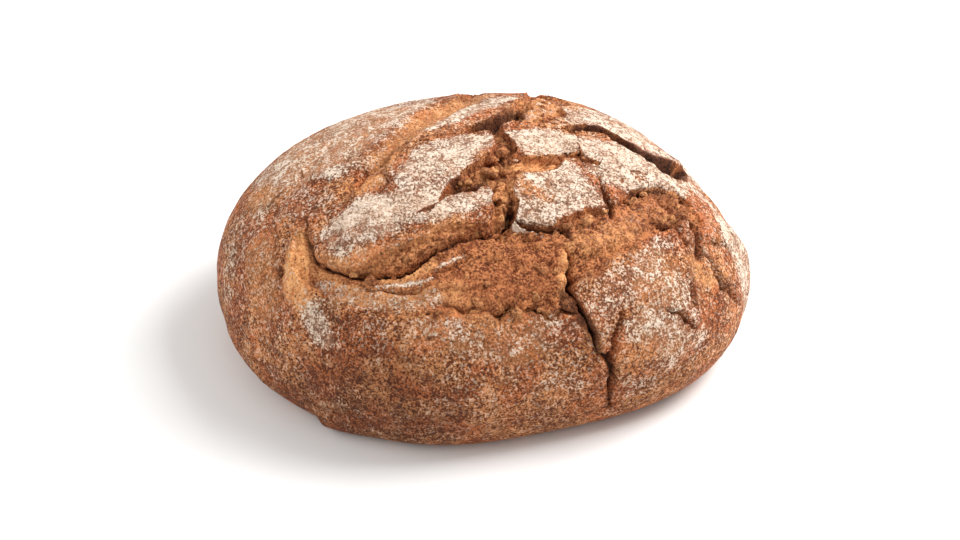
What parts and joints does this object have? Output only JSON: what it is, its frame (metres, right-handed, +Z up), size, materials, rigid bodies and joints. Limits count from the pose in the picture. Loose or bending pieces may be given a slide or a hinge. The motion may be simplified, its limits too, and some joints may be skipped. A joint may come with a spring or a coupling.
{
  "type": "rye bread loaf",
  "caption": "Oval rye loaf with a floured crust that has torn open over the crown and cracked down the front, on a flat bottom crust.",
  "frame": {"origin": "middle of the loaf's bounding box, at the level of its flat bottom crust", "axes": "+Z up, +X along the loaf's length, and the side with the tongue of torn crust faces -Y"},
  "size_m": [0.253, 0.2018, 0.1081],
  "materials": {
    "crust": "browned, floured rye crust, matte"
  },
  "bodies": {
    "root": {"loaf": "crust"}
  },
  "joints": []
}
